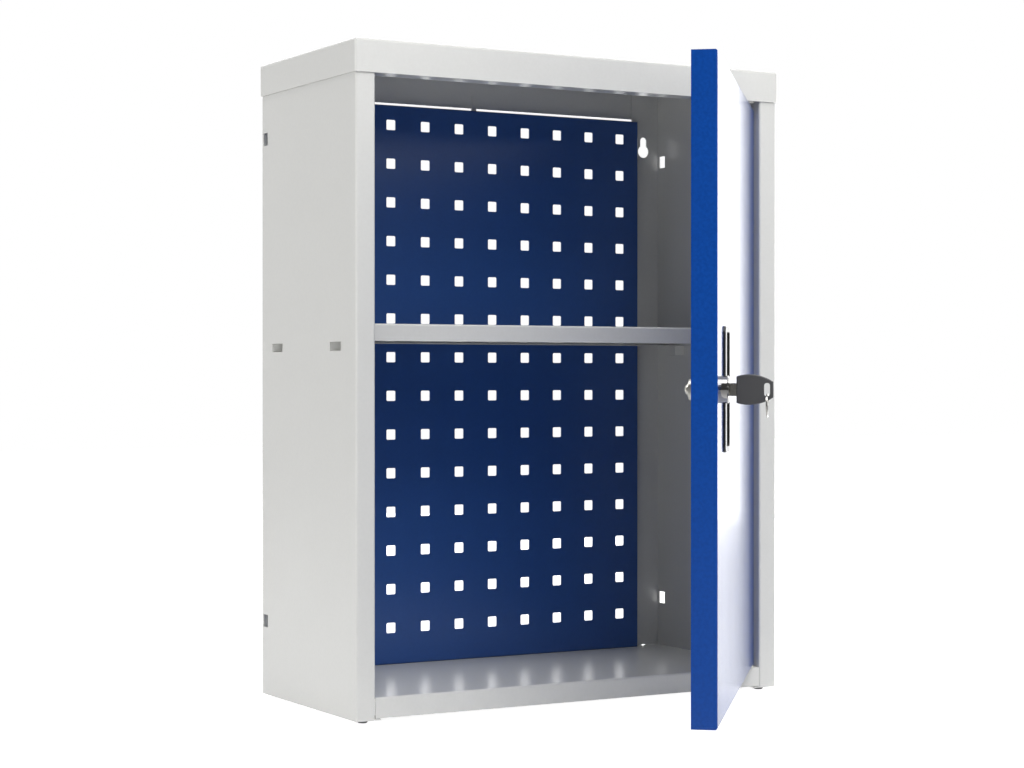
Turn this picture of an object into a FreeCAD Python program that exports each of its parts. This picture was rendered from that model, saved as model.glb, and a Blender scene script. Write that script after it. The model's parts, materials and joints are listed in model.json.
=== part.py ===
import FreeCAD, Part
import os
import re
import Sketcher

# Storage cabinet in folded sheet steel, with a perforated back panel, one shelf and a hinged lockable door.
# Millimetres. +X is to the right, +Y to the back, +Z up. The origin is the centre of the base, on the
# surface that the feet stand on. The door stands open by rest_opening, with the key in its lock.

SIZES = {
    # Carcass: the folded box without its lid and feet
    "carcass_width": 454,
    "carcass_depth": 207,
    "carcass_height": 600,
    "sheet_steel": 1,
    "bend_radius": 2,
    "cut_overrun": 2,
    # Sides
    "front_flange": 19,
    "front_return": 19,
    "rear_flange": 34,
    "base_flange": 24,
    "link_hole_height": 12,
    "link_hole_width": 10.5,
    "link_hole_inset": 3.5,
    "upper_link_drop": 71,
    "lower_link_hole": 70,
    "keyhole_radius": 6.5,
    "keyhole_slot_radius": 3.85,
    "keyhole_rise": 11,
    "keyhole_inset": 19.5,
    "upper_wall_drop": 60,
    "lower_wall_hole": 15,
    "lower_hole_radius": 5.8,
    "ear_height": 8,
    "ear_depth": 9,
    "upper_ear_drop": 132,
    "lower_ear": 124,
    "rivet_radius": 1.6,
    "rivet_head_radius": 2.9,
    "rivet_head": 0.9,
    # Lanced rests that carry the shelf
    "lance_length": 26,
    "lance_height": 10,
    "lance_depth": 8,
    "lance_ramp": 5,
    "front_lance_inset": 42,
    "rear_lance_inset": 37,
    # Cap
    "cap_clearance": 0.3,
    "cap_skirt": 29.5,
    "cap_return": 20.5,
    "cap_return_gap": 0.5,
    "cap_rear_skirt": 27,
    "tongue_width": 5.5,
    "tongue_offset": 4,
    "tongue_rise": 13,
    "tongue_drop": 5,
    # Floor
    "floor_level": 20,
    "floor_lip_rise": 1.5,
    "floor_setback": 0.5,
    "floor_clearance": 0.3,
    "floor_lip_return": 12,
    # Back panel
    "panel_drop": 30.4,
    "panel_lap": 1,
    "panel_depth": 11,
    "grid_pitch": 38,
    "grid_hole": 10,
    "grid_hole_corner": 0.8,
    "grid_top_margin": 19.6,
    "grid_bottom_margin": 30,
    "grid_side_margin": 20,
    # Shelf
    "shelf_level": 335,
    "shelf_lip": 15.5,
    "shelf_setback": 30,
    "shelf_side_gap": 1,
    "shelf_rear_gap": 1,
    "shelf_return": 11,
    # Feet
    "foot_radius": 4.75,
    "foot_height": 3,
    "foot_edge": 1,
    "foot_inset": 12,
    "foot_stem_radius": 2.5,
    "foot_stem": 5,
    # Door
    "door_gap": 2,
    "door_top_gap": 7.5,
    "door_bottom_gap": 2,
    "door_setback": 0.5,
    "door_thickness": 21.2,
    "door_return": 14,
    # Hinge pins and bushes
    "pin_inset": 8,
    "pin_setback": 6,
    "pin_radius": 3,
    "pin_clearance": 0.05,
    "pin_collar_radius": 4.4,
    "pin_collar": 2,
    "pin_reach": 7,
    "pin_edge": 0.5,
    "bush_radius": 4.5,
    "bush_rim_radius": 6,
    "bush_length": 4,
    "bush_running_gap": 0.3,
    # Flush handle
    "handle_inset": 54,
    "handle_width": 48,
    "handle_height": 104,
    "handle_corner": 6,
    "handle_proud": 2,
    "handle_lap": 3,
    "handle_wall": 1.5,
    "handle_depth": 15,
    "handle_fit": 0.2,
    "handle_grip": 12,
    "handle_far_rim": 8,
    "handle_end_rim": 4.75,
    # Cam lock
    "lock_inset": 25,
    "boss_radius": 11.2,
    "boss_height": 7.5,
    "boss_edge": 1.2,
    "barrel_radius": 9,
    "barrel_length": 21.5,
    "nut_flats": 23,
    "nut_height": 5,
    "plug_bore": 6.5,
    "plug_clearance": 0.05,
    "plug_recess": 0.4,
    "keyway_depth": 22,
    "tail_side": 7,
    "cam_gap": 0.5,
    "cam_thickness": 3,
    "cam_half_width": 8.5,
    "cam_reach": 38,
    "cam_heel_round": 7,
    "cam_tip_round": 5,
    "washer_radius": 6,
    "washer_thickness": 1,
    "screw_radius": 2,
    "screw_length": 7,
    "screw_head_radius": 4,
    "screw_head": 2.4,
    "screw_head_edge": 1,
    # Key
    "key_thickness": 2.2,
    "key_height": 8.4,
    "key_play": 0.15,
    "key_reach": 20,
    "key_tip": 2.4,
    "bit_pitch": 3.2,
    "bit_half_width": 1.2,
    "first_bit": 4.5,
    "key_neck": 6,
    "neck_height": 10.4,
    "key_tang": 14,
    "tang_height": 8,
    "bow_length": 29.5,
    "bow_start_height": 21.5,
    "bow_end_height": 12.4,
    "bow_crown_radius": 34,
    "bow_thickness": 5,
    "bow_edge": 0.8,
    "bow_slot_width": 4.7,
    "bow_slot_height": 10.6,
    "bow_slot_inset": 5,
    "bow_slot_corner": 2,
    # Key ring
    "ring_radius": 9,
    "ring_wire_width": 1.2,
    "ring_wire_height": 1.6,
    "ring_clearance": 0.7,
}

# How far the door stands open, in degrees
ANGLES = {"rest_opening": 50}

# Depth of each cut in the key's lower edge, as shares of the blade's height
BIT_DEPTH_SHARES = (0.2, 0.34, 0.16, 0.28)

# How far an edge may stray from a level that it is said to lie at, as a share of its length
LEVEL_SHARE = 1e-4

# Derived levels and faces of the carcass
HALF_WIDTH = "(carcass_width/2)"
INNER_WALL = "(carcass_width/2 - sheet_steel)"
FRONT = "(-carcass_depth/2)"
REAR = "(carcass_depth/2)"
REAR_INNER = "(carcass_depth/2 - sheet_steel)"
RETURN_FACE = "(carcass_width/2 - front_flange)"
RETURN_END = "(front_return - carcass_depth/2)"
REAR_EDGE = "(carcass_width/2 - rear_flange)"
CAP_TOP = "(foot_height + carcass_height)"
CAP_RIM = "(foot_height + carcass_height - cap_skirt)"
CAP_REAR_RIM = "(foot_height + carcass_height - cap_rear_skirt)"
SIDE_TOP = "(foot_height + carcass_height - sheet_steel)"
FLOOR = "(foot_height + floor_level)"
SHELF_REST = "(foot_height + shelf_level)"
LINK_HOLES = {
    "upper": "(foot_height + carcass_height - upper_link_drop)",
    "lower": "(foot_height + lower_link_hole)",
}
WALL_HOLES = {
    "upper": "(foot_height + carcass_height - upper_wall_drop)",
    "lower": "(foot_height + lower_wall_hole)",
}
EARS = {
    "upper": "(foot_height + carcass_height - upper_ear_drop)",
    "lower": "(foot_height + lower_ear)",
}
PANEL_TOP = "(foot_height + carcass_height - panel_drop)"
PANEL_FACE = "(carcass_depth/2 - sheet_steel - panel_depth)"
PANEL_HALF = "(carcass_width/2 - rear_flange + panel_lap)"

# The door's own frame: the pin axis is its Z axis, and its bottom edge is at zero
PIVOT_X = "(carcass_width/2 - front_flange - door_gap - pin_inset)"
PIVOT_Y = "(door_setback + pin_setback - carcass_depth/2)"
DOOR_FOOT = "(foot_height + floor_level + door_bottom_gap)"
DOOR_HEIGHT = "(carcass_height - cap_skirt - door_top_gap - floor_level - door_bottom_gap)"
DOOR_HALF = "(carcass_height - cap_skirt - door_top_gap - floor_level - door_bottom_gap)/2"
HINGE_EDGE = "pin_inset"
FREE_EDGE = "(pin_inset + 2*front_flange + 2*door_gap - carcass_width)"
OUTER = "(-pin_setback)"
BACK = "(door_thickness - pin_setback)"
LOCK_X = "(pin_inset + 2*front_flange + 2*door_gap - carcass_width + lock_inset)"
BOSS_FACE = "(-pin_setback - boss_height)"
PLUG_FACE = "(-pin_setback - boss_height + plug_recess)"
BARREL_END = "(barrel_length - pin_setback)"
CAM_FRONT = "(barrel_length - pin_setback + cam_gap)"
CAM_BACK = "(barrel_length - pin_setback + cam_gap + cam_thickness)"
WASHER_BACK = "(barrel_length - pin_setback + cam_gap + cam_thickness + washer_thickness)"
BOW_START = "(plug_recess - pin_setback - boss_height - key_neck)"
BOW_END = "(plug_recess - pin_setback - boss_height - key_neck - bow_length)"

doc = FreeCAD.newDocument("storage_cabinet")
sizes = doc.addObject("Spreadsheet::Sheet", "sizes")
VALUES = {**SIZES, **ANGLES}
for row, (alias, value) in enumerate(VALUES.items(), start=1):
    sizes.set(f"A{row}", alias)
    sizes.set(f"B{row}", str(value))
    sizes.setAlias(f"B{row}", alias)
desk = doc.addObject("Spreadsheet::Sheet", "desk")
doc.recompute()

parts = []


def formula(text):
    """The expression for a formula written in plain size names."""
    return re.sub(r"[a-z_]+", lambda word: f"sizes.{word[0]}" if word[0] in VALUES else word[0], text)


def number(text):
    """What a formula comes to, worked out in a spare sheet's cell."""
    desk.set("A1", f"={formula(text)}")
    desk.recompute()
    return float(desk.get("A1"))


def bind(item, prop, text):
    item.setExpression(prop, formula(text))


def new_body(label):
    body = doc.addObject("PartDesign::Body", label)
    body.Label = label
    parts.append(body)
    return body


def hang_on_door(body):
    """Places a piece that is drawn in the door's own frame."""
    bind(body, "Placement.Base.x", PIVOT_X)
    bind(body, "Placement.Base.y", PIVOT_Y)
    bind(body, "Placement.Base.z", DOOR_FOOT)
    body.Placement.Rotation = FreeCAD.Rotation(FreeCAD.Vector(0, 0, 1), number("rest_opening"))
    bind(body, "Placement.Rotation.Angle", "rest_opening")
    return body


def new_sketch(body, name, plane, offset):
    """A sketch on an origin plane of its body, moved by three formulas in the plane's own axes."""
    sketch = body.newObject("Sketcher::SketchObject", f"{body.Name}_{name}")
    base = [face for face in body.Origin.OriginFeatures if face.Role == f"{plane}_Plane"][0]
    sketch.AttachmentSupport = (base, [""])
    sketch.MapMode = "FlatFace"
    for axis, text in zip("xyz", offset):
        if text != "0":
            bind(sketch, f"AttachmentOffset.Base.{axis}", text)
    return sketch


def fix_point(sketch, curve, end, x, y):
    """Dimensions one end of a curve from the sketch's origin."""
    for kind, axis_line, text in (("DistanceX", -2, x), ("DistanceY", -1, y)):
        if text == "0":
            sketch.addConstraint(Sketcher.Constraint("PointOnObject", curve, end, axis_line))
        else:
            index = sketch.addConstraint(Sketcher.Constraint(kind, -1, 1, curve, end, number(text)))
            bind(sketch, f"Constraints[{index}]", text)


def fix_radius(sketch, curve, text):
    index = sketch.addConstraint(Sketcher.Constraint("Radius", curve, number(text)))
    bind(sketch, f"Constraints[{index}]", text)


def circle(sketch, x, y, radius):
    centre = FreeCAD.Vector(number(x), number(y), 0)
    curve = sketch.addGeometry(Part.Circle(centre, FreeCAD.Vector(0, 0, 1), number(radius)))
    fix_radius(sketch, curve, radius)
    fix_point(sketch, curve, 3, x, y)


def step(start, goal):
    """The sign of the way from one formula's value to another's, as text."""
    gap = number(goal) - number(start)
    return "+" if gap > 0 else "-"


def toward(corner, other, radius):
    """The point of a corner's square edge that lies one radius from it, on the way to another corner."""
    x, y = corner
    if abs(number(x) - number(other[0])) > abs(number(y) - number(other[1])):
        return (f"{x} {step(x, other[0])} ({radius})", y)
    return (x, f"{y} {step(y, other[1])} ({radius})")


def arc_between(start, end, radius, left):
    """An arc of a given radius between two points, bulging to the left of their direction or to its right."""
    chord = end - start
    middle = start + chord * 0.5
    rise = (radius ** 2 - (chord.Length / 2) ** 2) ** 0.5
    normal = FreeCAD.Vector(-chord.y, chord.x, 0).normalize()
    side = 1 if left else -1
    crest = middle + normal * (side * (radius - rise))
    return Part.Arc(start, crest, end)


def outline(sketch, corners):
    """A closed outline. A corner is x, y and, where it is rounded, its radius; a fourth value is the radius
    of the bulging arc that leads from the corner to the next one."""
    stops = []
    count = len(corners)
    for place, corner in enumerate(corners):
        point = corner[:2]
        radius = corner[2] if len(corner) > 2 else "0"
        bulge = corner[3] if len(corner) > 3 else None
        if radius == "0":
            stops.append((point, bulge))
            continue
        stops.append((toward(point, corners[place - 1][:2], radius), radius))
        stops.append((toward(point, corners[(place + 1) % count][:2], radius), None))
    spots = [FreeCAD.Vector(number(x), number(y), 0) for (x, y), _ in stops]
    turn = sum(a.x * b.y - a.y * b.x for a, b in zip(spots, spots[1:] + spots[:1]))
    curves = []
    for place, (point, radius) in enumerate(stops):
        start = spots[place]
        end = spots[(place + 1) % len(stops)]
        if radius is None:
            curves.append(sketch.addGeometry(Part.LineSegment(start, end)))
            continue
        before = spots[place - 1]
        inward = (start - before).cross(end - start).z * turn < 0
        curves.append(sketch.addGeometry(arc_between(start, end, number(radius), (turn < 0) != inward)))
    for place, curve in enumerate(curves):
        x, y = stops[place][0]
        follower = curves[(place + 1) % len(curves)]
        ends = curve_ends(sketch, curve, spots[place])
        fix_point(sketch, curve, ends[0], x, y)
        next_ends = curve_ends(sketch, follower, spots[(place + 1) % len(spots)])
        sketch.addConstraint(Sketcher.Constraint("Coincident", curve, ends[1], follower, next_ends[0]))
        if stops[place][1] is not None:
            fix_radius(sketch, curve, stops[place][1])


def curve_ends(sketch, curve, start):
    """The indices of a curve's start and end in the outline's own direction, as arcs run anticlockwise."""
    runs_back = (sketch.getPoint(curve, 1) - start).Length > (sketch.getPoint(curve, 2) - start).Length
    return (2, 1) if runs_back else (1, 2)


def box(x_low, y_low, x_high, y_high, radius="0"):
    spots = [(x_low, y_low), (x_high, y_low), (x_high, y_high), (x_low, y_high)]
    return [(*spot, radius) for spot in spots]


def clipped_box(x_low, y_low, x_high, y_high, clip):
    """A rectangle with its corners cut off."""
    return [(f"{x_low} + {clip}", y_low), (f"{x_high} - {clip}", y_low),
            (x_high, f"{y_low} + {clip}"), (x_high, f"{y_high} - {clip}"),
            (f"{x_high} - {clip}", y_high), (f"{x_low} + {clip}", y_high),
            (x_low, f"{y_high} - {clip}"), (x_low, f"{y_low} + {clip}")]


PLANE_SIGNS = {"XY": "", "XZ": "-", "YZ": ""}


def slab(body, kind, name, plane, low, high, outlines):
    """Pads or pockets outlines between two levels along the plane's normal axis."""
    depth = f"{PLANE_SIGNS[plane]}(({low}) + ({high}))/2"
    sketch = new_sketch(body, f"{name}_sketch", plane, ("0", "0", depth))
    for shape in outlines:
        if isinstance(shape, tuple):
            circle(sketch, *shape)
        else:
            outline(sketch, shape)
    feature = body.newObject(f"PartDesign::{kind}", f"{body.Name}_{name}")
    feature.Profile = sketch
    feature.SideType = "Symmetric"
    bind(feature, "Length", f"abs(({high}) - ({low}))")
    doc.recompute()
    return feature


def add(body, name, plane, low, high, *outlines):
    return slab(body, "Pad", name, plane, low, high, outlines)


def cut(body, name, plane, low, high, *outlines):
    """A pocket, which has to take material away."""
    before = body.Shape.Volume
    feature = slab(body, "Pocket", name, plane, low, high, outlines)
    if body.Shape.Volume >= before:
        raise ValueError(f"{feature.Name} cuts nothing")
    return feature


def turned(body, name, plane, offset, corners):
    """Revolves a profile of radius and height about an axis along the sketch's own vertical."""
    sketch = new_sketch(body, f"{name}_sketch", plane, offset)
    outline(sketch, corners)
    feature = body.newObject("PartDesign::Revolution", f"{body.Name}_{name}")
    feature.Profile = sketch
    feature.ReferenceAxis = (sketch, ["V_Axis"])
    doc.recompute()
    return feature


EDGE_SIZES = {"Fillet": "Radius", "Chamfer": "Size"}


def dress(body, kind, name, size, picked):
    """Rounds or bevels the edges of the body that a test picks."""
    base = body.Tip
    edges = [f"Edge{i}" for i, edge in enumerate(base.Shape.Edges, start=1) if picked(edge)]
    feature = body.newObject(f"PartDesign::{kind}", f"{body.Name}_{name}")
    feature.Base = (base, edges)
    bind(feature, EDGE_SIZES[kind], size)
    doc.recompute()
    return feature


def lies_at(edge, axis, level):
    """Whether an edge lies wholly at one level of an axis."""
    spread = edge.BoundBox
    low, high = getattr(spread, f"{axis}Min"), getattr(spread, f"{axis}Max")
    return max(abs(low - level), abs(high - level)) < edge.Length * LEVEL_SHARE


def make_side(label, hand):
    """A side: wall, front flange with its return, rear flange and base flange, folded from one sheet."""
    body = new_body(label)

    def x(text):
        return f"{hand}*({text})"

    inner_bend = "bend_radius - sheet_steel"
    add(body, "wall", "XY", "foot_height", SIDE_TOP, [
        (x(RETURN_FACE), RETURN_END),
        (x(RETURN_FACE), FRONT, "bend_radius"),
        (x(HALF_WIDTH), FRONT, "bend_radius"),
        (x(HALF_WIDTH), REAR, "bend_radius"),
        (x(REAR_EDGE), REAR),
        (x(REAR_EDGE), REAR_INNER),
        (x(INNER_WALL), REAR_INNER, inner_bend),
        (x(INNER_WALL), f"{FRONT} + sheet_steel", inner_bend),
        (x(f"{RETURN_FACE} + sheet_steel"), f"{FRONT} + sheet_steel", inner_bend),
        (x(f"{RETURN_FACE} + sheet_steel"), RETURN_END),
    ])
    add(body, "base_flange", "XY", "foot_height", "foot_height + sheet_steel", box(
        x(f"{INNER_WALL} - base_flange"), f"{FRONT} + sheet_steel/2",
        x(f"{INNER_WALL} + sheet_steel/2"), f"{REAR} - sheet_steel/2"))
    for name, middle in EARS.items():
        add(body, f"{name}_ear", "XY", f"{middle} - ear_height/2", f"{middle} + ear_height/2", box(
            x(PANEL_HALF), f"{REAR_INNER} - ear_depth",
            x(f"{PANEL_HALF} + sheet_steel"), REAR_INNER))
        cut(body, f"{name}_ear_hole", "YZ", x(f"{PANEL_HALF} - cut_overrun"),
            x(f"{PANEL_HALF} + sheet_steel + cut_overrun"),
            (f"{REAR_INNER} - ear_depth/2", middle, "rivet_radius"))
    make_lance(body, "front", x, f"{FRONT} + front_lance_inset")
    make_lance(body, "rear", x, f"{REAR} - rear_lance_inset")
    through = (x(f"{INNER_WALL} - cut_overrun"), x(f"{HALF_WIDTH} + cut_overrun"))
    for name, middle in LINK_HOLES.items():
        cut(body, f"{name}_link_hole", "YZ", *through, box(
            f"{REAR} - link_hole_inset - link_hole_width", f"{middle} - link_hole_height/2",
            f"{REAR} - link_hole_inset", f"{middle} + link_hole_height/2"))
    column = x(f"{HALF_WIDTH} - keyhole_inset")
    entry = WALL_HOLES["upper"]
    behind = (f"{REAR_INNER} - cut_overrun", f"{REAR} + cut_overrun")
    cut(body, "keyhole_entry", "XZ", *behind, (column, entry, "keyhole_radius"))
    slot_top = f"{entry} + keyhole_rise"
    cut(body, "keyhole_slot", "XZ", *behind, box(
        f"{column} - keyhole_slot_radius", entry, f"{column} + keyhole_slot_radius", slot_top))
    cut(body, "keyhole_top", "XZ", *behind, (column, slot_top, "keyhole_slot_radius"))
    cut(body, "lower_wall_hole", "XZ", *behind, (column, WALL_HOLES["lower"], "lower_hole_radius"))
    under = ("foot_height - cut_overrun", "foot_height + sheet_steel + cut_overrun")
    for name, depth in (("front", f"{FRONT} + foot_inset"), ("rear", f"{REAR} - foot_inset")):
        cut(body, f"{name}_foot_hole", "XY", *under,
            (x(f"{HALF_WIDTH} - foot_inset"), depth, "foot_stem_radius"))


def make_lance(body, name, x, middle):
    """A shelf rest pressed inwards out of the wall: a hollow bump, open to the outside, with a flat top."""
    foot = f"{SHELF_REST} - lance_height"
    crest = f"{INNER_WALL} - lance_depth"
    add(body, f"{name}_lance", "XY", foot, SHELF_REST, [
        (x(f"{INNER_WALL} + sheet_steel/2"), f"{middle} - lance_length/2"),
        (x(f"{INNER_WALL} + sheet_steel/2"), f"{middle} + lance_length/2"),
        (x(INNER_WALL), f"{middle} + lance_length/2"),
        (x(crest), f"{middle} + lance_length/2 - lance_ramp"),
        (x(crest), f"{middle} - lance_length/2 + lance_ramp"),
        (x(INNER_WALL), f"{middle} - lance_length/2"),
    ])
    cut(body, f"{name}_lance_hollow", "XY", f"{foot} + sheet_steel", f"{SHELF_REST} - sheet_steel", [
        (x(f"{HALF_WIDTH} + cut_overrun"), f"{middle} - lance_length/2 + sheet_steel"),
        (x(f"{HALF_WIDTH} + cut_overrun"), f"{middle} + lance_length/2 - sheet_steel"),
        (x(INNER_WALL), f"{middle} + lance_length/2 - sheet_steel"),
        (x(f"{crest} + sheet_steel"), f"{middle} + lance_length/2 - lance_ramp - sheet_steel/2"),
        (x(f"{crest} + sheet_steel"), f"{middle} - lance_length/2 + lance_ramp + sheet_steel/2"),
        (x(INNER_WALL), f"{middle} - lance_length/2 + sheet_steel"),
    ])


def make_cap():
    """The lid: a shallow tray upside down over the sides, with a return behind its front skirt.

    The rear skirt is shorter, and a tongue welded in it hangs behind the panel's top edge.
    """
    body = new_body("top_cap")
    reach = "(cap_clearance + sheet_steel)"
    half = f"({HALF_WIDTH} + {reach})"
    front = f"({FRONT} - {reach})"
    rear = f"({REAR} + {reach})"
    add(body, "tray", "XY", CAP_RIM, CAP_TOP, box(f"-{half}", front, half, rear, "bend_radius"))
    dress(body, "Fillet", "top_bend", "bend_radius", lambda edge: lies_at(edge, "Z", number(CAP_TOP)))
    inner_half = f"({half} - sheet_steel)"
    cut(body, "hollow", "XY", f"{CAP_RIM} - cut_overrun", f"{CAP_TOP} - sheet_steel", box(
        f"-{inner_half}", f"{front} + sheet_steel", inner_half, f"{rear} - sheet_steel"))
    skirt = f"({rear} - sheet_steel)"
    relief = f"({half} - bend_radius)"
    cut(body, "rear_relief", "XY", f"{CAP_RIM} - cut_overrun", CAP_REAR_RIM, box(
        f"-{relief}", f"{skirt} - cut_overrun", relief, f"{rear} + cut_overrun"))
    add(body, "tongue", "XY", f"{CAP_REAR_RIM} - tongue_drop", f"{CAP_REAR_RIM} + tongue_rise", box(
        "tongue_offset - tongue_width/2", f"{skirt} - sheet_steel", "tongue_offset + tongue_width/2", skirt))
    end = f"({RETURN_FACE} - cap_return_gap)"
    add(body, "front_return", "XY", CAP_RIM, f"{CAP_RIM} + sheet_steel", box(
        f"-{end}", f"{front} + sheet_steel/2", end, f"{front} + cap_return"))
    cut(body, "bush_hole", "XY", f"{CAP_RIM} - cut_overrun", f"{CAP_RIM} + sheet_steel + cut_overrun",
        (PIVOT_X, PIVOT_Y, "bush_radius"))


def make_floor():
    """The floor: a plate notched round the sides' front flanges, with lips folded down all round."""
    body = new_body("floor_pan")
    end = f"({RETURN_FACE} - floor_clearance)"
    wall = f"({INNER_WALL} - floor_clearance)"
    front = f"({FRONT} + floor_setback)"
    notch = f"({RETURN_END} + floor_clearance)"
    rear = f"({REAR_INNER} - floor_clearance)"
    add(body, "plate", "XY", f"{FLOOR} - sheet_steel", FLOOR, [
        (f"-{end}", front), (end, front), (end, notch), (wall, notch),
        (wall, rear), (f"-{wall}", rear), (f"-{wall}", notch), (f"-{end}", notch),
    ])
    lip = "foot_height + floor_lip_rise"
    add(body, "front_lip", "XY", lip, FLOOR, box(f"-{end}", front, end, f"{front} + sheet_steel"))
    dress(body, "Fillet", "front_bend", "bend_radius",
          lambda edge: lies_at(edge, "Z", number(FLOOR)) and lies_at(edge, "Y", number(front)))
    add(body, "lip_return", "XY", lip, f"{lip} + sheet_steel", box(
        f"-{end}", f"{front} + sheet_steel/2", end, f"{front} + floor_lip_return"))
    seat = "foot_height + sheet_steel"
    for name, hand in (("left", "-"), ("right", "")):
        add(body, f"{name}_lip", "XY", seat, FLOOR, box(
            f"{hand}({wall} - sheet_steel)", notch, f"{hand}{wall}", rear))
    back = f"({REAR_EDGE} - floor_clearance)"
    add(body, "rear_lip", "XY", lip, FLOOR, box(f"-{back}", f"{rear} - sheet_steel", back, rear))
    cut(body, "bush_hole", "XY", f"{FLOOR} - sheet_steel - cut_overrun", f"{FLOOR} + cut_overrun",
        (PIVOT_X, PIVOT_Y, "bush_radius"))


def make_panel():
    """The perforated back: a shallow pan, its edges folded back to the sides' rear flanges."""
    body = new_body("perforated_panel")
    add(body, "pan", "XZ", PANEL_FACE, REAR_INNER, box(f"-{PANEL_HALF}", FLOOR, PANEL_HALF, PANEL_TOP))
    dress(body, "Fillet", "front_bends", "bend_radius", lambda edge: lies_at(edge, "Y", number(PANEL_FACE)))
    cut(body, "hollow", "XZ", f"{PANEL_FACE} + sheet_steel", f"{REAR_INNER} + cut_overrun", box(
        f"-({PANEL_HALF} - sheet_steel)", f"{FLOOR} + sheet_steel",
        f"{PANEL_HALF} - sheet_steel", f"{PANEL_TOP} - sheet_steel"))
    for name, level in EARS.items():
        for hand in ("-", ""):
            cut(body, f"{name}_rivet_hole", "YZ", f"{hand}({PANEL_HALF} - sheet_steel - cut_overrun)",
                f"{hand}({PANEL_HALF} + cut_overrun)",
                (f"{REAR_INNER} - ear_depth/2", level, "rivet_radius"))
    columns = f"trunc((2*{PANEL_HALF} - 2*grid_side_margin)/grid_pitch)"
    rows = f"trunc(({PANEL_TOP} - {FLOOR} - grid_top_margin - grid_bottom_margin)/grid_pitch)"
    x = f"-{columns}*grid_pitch/2"
    z = f"({PANEL_TOP} - grid_top_margin)"
    through = (f"{PANEL_FACE} - cut_overrun", f"{PANEL_FACE} + sheet_steel + cut_overrun")
    hole = cut(body, "grid_hole", "XZ", *through, clipped_box(
        f"{x} - grid_hole/2", f"{z} - grid_hole/2",
        f"{x} + grid_hole/2", f"{z} + grid_hole/2", "grid_hole_corner"))
    grid = body.newObject("PartDesign::LinearPattern", "grid")
    grid.Originals = [hole]
    axes = {axis.Role: axis for axis in body.Origin.OriginFeatures}
    grid.Direction = (axes["X_Axis"], [""])
    grid.Direction2 = (axes["Z_Axis"], [""])
    grid.Reversed2 = True
    bind(grid, "Length", f"{columns}*grid_pitch")
    bind(grid, "Length2", f"{rows}*grid_pitch")
    bind(grid, "Occurrences", f"{columns} + 1")
    bind(grid, "Occurrences2", f"{rows} + 1")
    body.Tip = grid
    doc.recompute()


def make_rivets():
    """Four blind rivets through the panel's folded edges and the ears of the sides."""
    rivets = []
    for name, level in EARS.items():
        for side, hand in (("left", "-"), ("right", "")):
            body = doc.addObject("PartDesign::Body", f"{name}_{side}_rivet")
            place = (f"{REAR_INNER} - ear_depth/2", level)
            inside = f"({PANEL_HALF} - sheet_steel)"
            outside = f"({PANEL_HALF} + sheet_steel)"
            add(body, "shank", "YZ", f"{hand}{inside}", f"{hand}{outside}", (*place, "rivet_radius"))
            add(body, "outer_head", "YZ", f"{hand}{outside}", f"{hand}({outside} + rivet_head)",
                (*place, "rivet_head_radius"))
            add(body, "inner_head", "YZ", f"{hand}({inside} - rivet_head)", f"{hand}{inside}",
                (*place, "rivet_head_radius"))
            rivets.append(body)
    group = doc.addObject("Part::Compound", "panel_rivets")
    group.Label = "panel_rivets"
    group.Links = rivets
    parts.append(group)


def make_shelf():
    """The shelf: a tray upside down, its lips standing on the lanced rests."""
    body = new_body("shelf")
    half = f"({INNER_WALL} - shelf_side_gap)"
    front = f"({FRONT} + shelf_setback)"
    rear = f"({PANEL_FACE} - shelf_rear_gap)"
    top = f"({SHELF_REST} + shelf_lip)"
    add(body, "tray", "XY", SHELF_REST, top, box(f"-{half}", front, half, rear))
    dress(body, "Fillet", "bends", "bend_radius", lambda edge: lies_at(edge, "Z", number(top)))
    inner_half = f"({half} - sheet_steel)"
    cut(body, "hollow", "XY", f"{SHELF_REST} - cut_overrun", f"{top} - sheet_steel", box(
        f"-{inner_half}", f"{front} + sheet_steel", inner_half, f"{rear} - sheet_steel"))
    for name, low, high in (("front", f"{front} + sheet_steel/2", f"{front} + shelf_return"),
                            ("rear", f"{rear} - shelf_return", f"{rear} - sheet_steel/2")):
        add(body, f"{name}_return", "XY", SHELF_REST, f"{SHELF_REST} + sheet_steel",
            box(f"-({half} - sheet_steel/2)", low, f"{half} - sheet_steel/2", high))


def make_feet():
    """Push-in glides: a button under the base flange and a stem through it."""
    for depth_name, depth in (("front", f"{FRONT} + foot_inset"), ("rear", f"{REAR} - foot_inset")):
        for side, hand in (("left", "-"), ("right", "")):
            body = new_body(f"foot_{depth_name}_{side}")
            turned(body, "button", "XZ", (f"{hand}({HALF_WIDTH} - foot_inset)", "0", f"-({depth})"), [
                ("0", "0"),
                ("foot_radius - foot_edge", "0"),
                ("foot_radius", "foot_edge"),
                ("foot_radius", "foot_height"),
                ("foot_stem_radius", "foot_height"),
                ("foot_stem_radius", "foot_height + foot_stem - foot_edge"),
                ("foot_stem_radius - foot_edge", "foot_height + foot_stem"),
                ("0", "foot_height + foot_stem"),
            ])


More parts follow.
